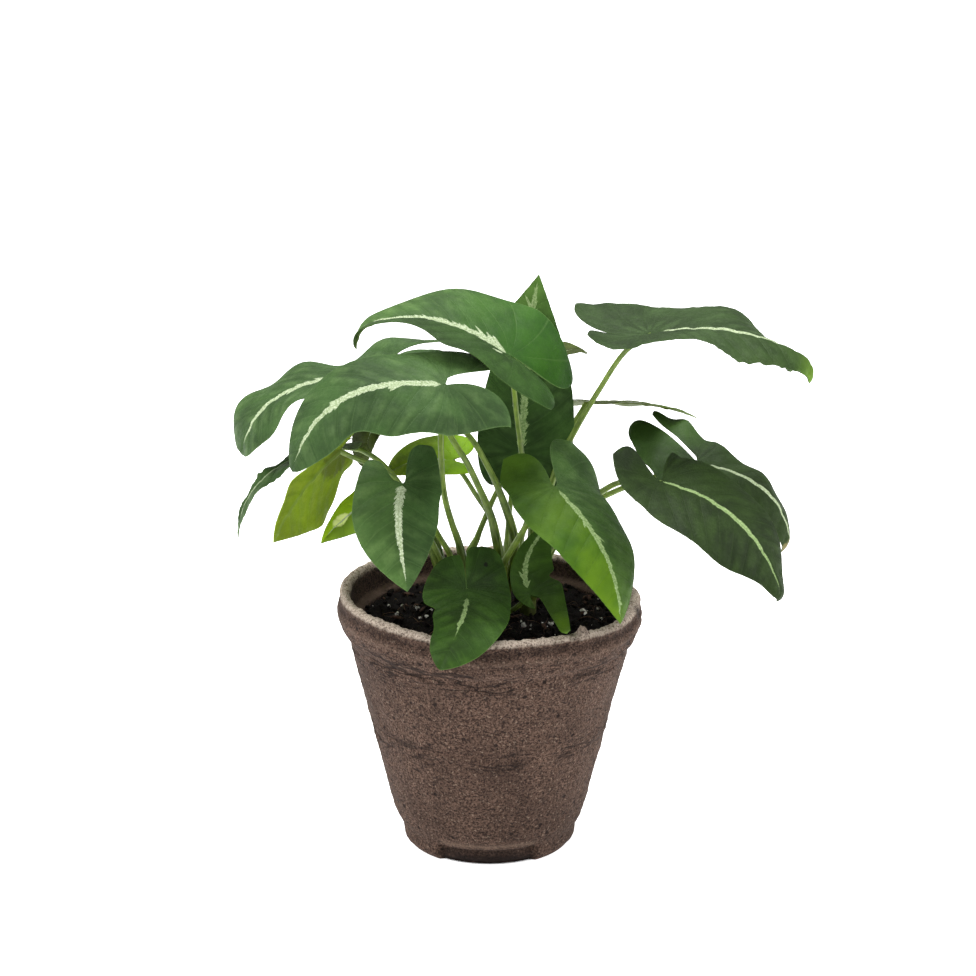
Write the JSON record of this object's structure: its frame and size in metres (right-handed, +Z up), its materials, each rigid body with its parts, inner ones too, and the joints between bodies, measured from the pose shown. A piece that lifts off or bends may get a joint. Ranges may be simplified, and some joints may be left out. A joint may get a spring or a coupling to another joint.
{
  "type": "potted syngonium plant",
  "caption": "Arrowhead vine with arching pale-veined leaves on thin stalks, in soil in a round tapered moulded-fibre pot.",
  "frame": {"origin": "middle of the pot's flat bottom", "axes": "+Z up, -Y towards the front seen in the picture, +X to its right"},
  "size_m": [0.2071, 0.1258, 0.2026],
  "materials": {
    "fibre": "rough moulded fibre, taupe brown with dark flecks and a paler worn lip",
    "soil": "loose near-black potting mix with pale grains",
    "stalk": "smooth olive-green leaf stalk",
    "leaf": "velvety dark green leaf with a pale mint band along the midrib",
    "lime_leaf": "thin yellow-green young leaf"
  },
  "bodies": {
    "root": {"pot": "fibre", "soil": "soil", "shoot_left": "stalk", "shoot_front": "stalk", "shoot_back": "stalk", "shoot_right": "stalk", "leaf_left_front": "leaf", "leaf_top_left": "leaf", "leaf_left_back": "leaf", "leaf_left_narrow": "leaf", "leaf_left_lime": "lime_leaf", "leaf_left_yellow": "lime_leaf", "leaf_left_small": "leaf", "leaf_front_left": "leaf", "leaf_front_low": "leaf", "leaf_front_right": "leaf", "leaf_top_back": "leaf", "leaf_back_small": "leaf", "leaf_right_high": "leaf", "leaf_right_back": "leaf", "leaf_right_front": "leaf", "leaf_right_middle": "leaf", "leaf_middle_low": "leaf", "leaf_middle_lime": "lime_leaf"}
  },
  "joints": []
}
